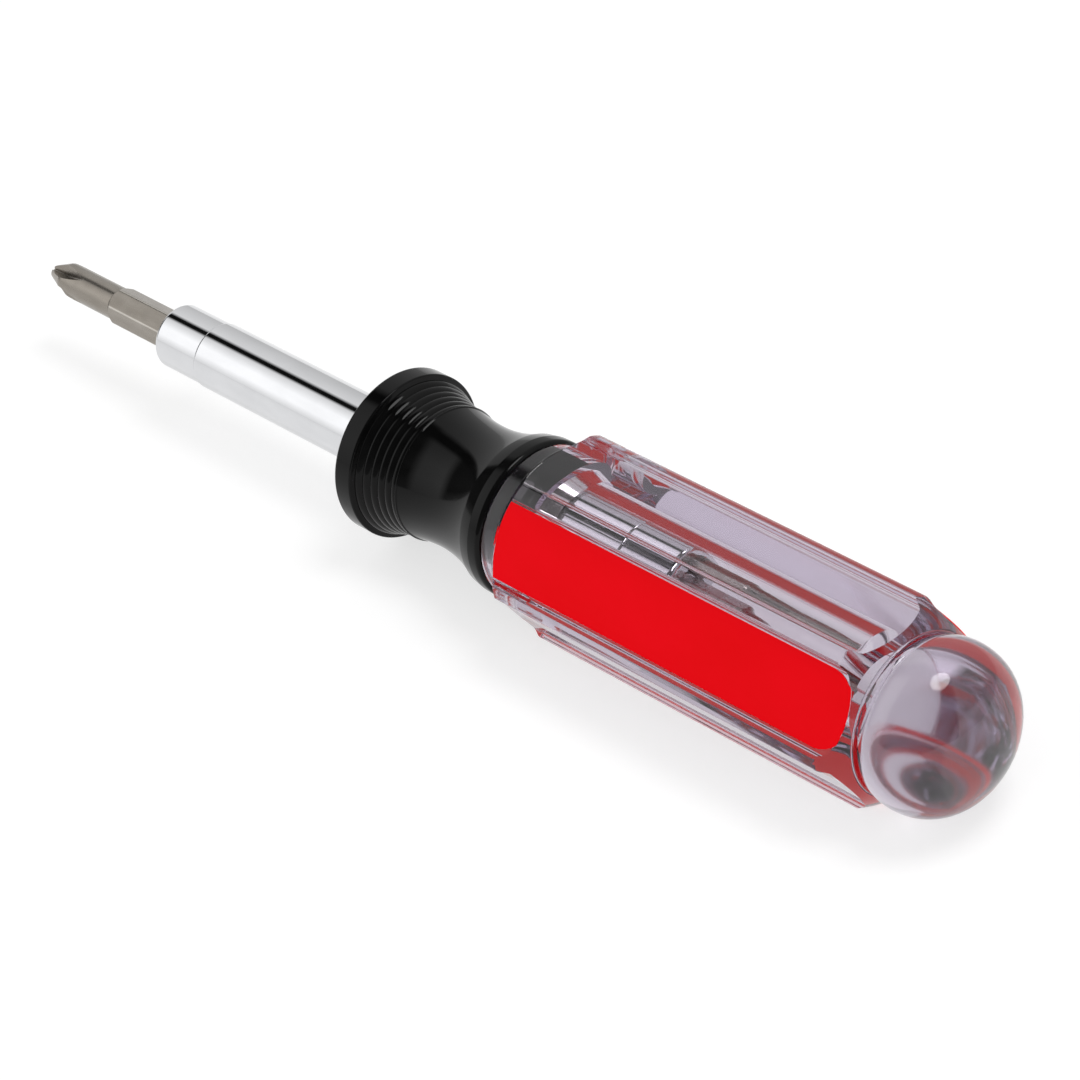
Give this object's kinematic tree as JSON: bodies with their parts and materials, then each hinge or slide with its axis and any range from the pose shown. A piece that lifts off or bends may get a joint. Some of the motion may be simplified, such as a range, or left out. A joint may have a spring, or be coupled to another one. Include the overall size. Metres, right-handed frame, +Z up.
{
  "type": "multi-bit screwdriver",
  "caption": "Screwdriver with a clear fluted ball-end handle, red inlays and black ferrule, whose plated shank pulls out and reverses and holds double-ended bits in hexagon sockets.",
  "frame": {"origin": "centre of the bounding box in X and Y, at the plane the two lowest lands of the handle rest on", "axes": "+X along the tool from the ball to the working tip, +Z up with one inlay facing down, +Y to the left of the tip"},
  "size_m": [0.2252, 0.0354, 0.032],
  "materials": {
    "clear": "clear cast plastic with a faint lilac tint, polished",
    "red": "opaque red, satin",
    "black": "moulded black, glossy",
    "nickel": "nickel-plated steel",
    "spring_wire": "drawn spring wire",
    "chrome": "bright chrome plate",
    "bit_steel": "hardened bit steel with a brown-grey phosphate tone"
  },
  "bodies": {
    "handle": {"handle_body": "clear", "inlay_lower": "red", "inlay_left": "red", "inlay_right": "red", "ferrule": "black", "drive_bush": "nickel", "shank_ring": "spring_wire"},
    "shank": {"shank_tube": "chrome", "drive_collar": "nickel", "nose_front": "chrome", "nose_rear": "chrome", "bit_ring_front": "spring_wire", "bit_ring_rear": "spring_wire"},
    "working_bit": {"front_bit": "bit_steel"},
    "stored_bit": {"rear_bit": "bit_steel"}
  },
  "joints": [
    {"name": "shank_slide", "type": "slide", "parent": "handle", "child": "shank", "axis": [1, 0, 0], "range_m": [0, 0.106]},
    {"name": "working_bit_slide", "type": "slide", "parent": "shank", "child": "working_bit", "axis": [1, 0, 0], "range_m": [0, 0.036]},
    {"name": "stored_bit_slide", "type": "slide", "parent": "shank", "child": "stored_bit", "axis": [-1, 0, 0], "range_m": [0, 0.003]}
  ]
}
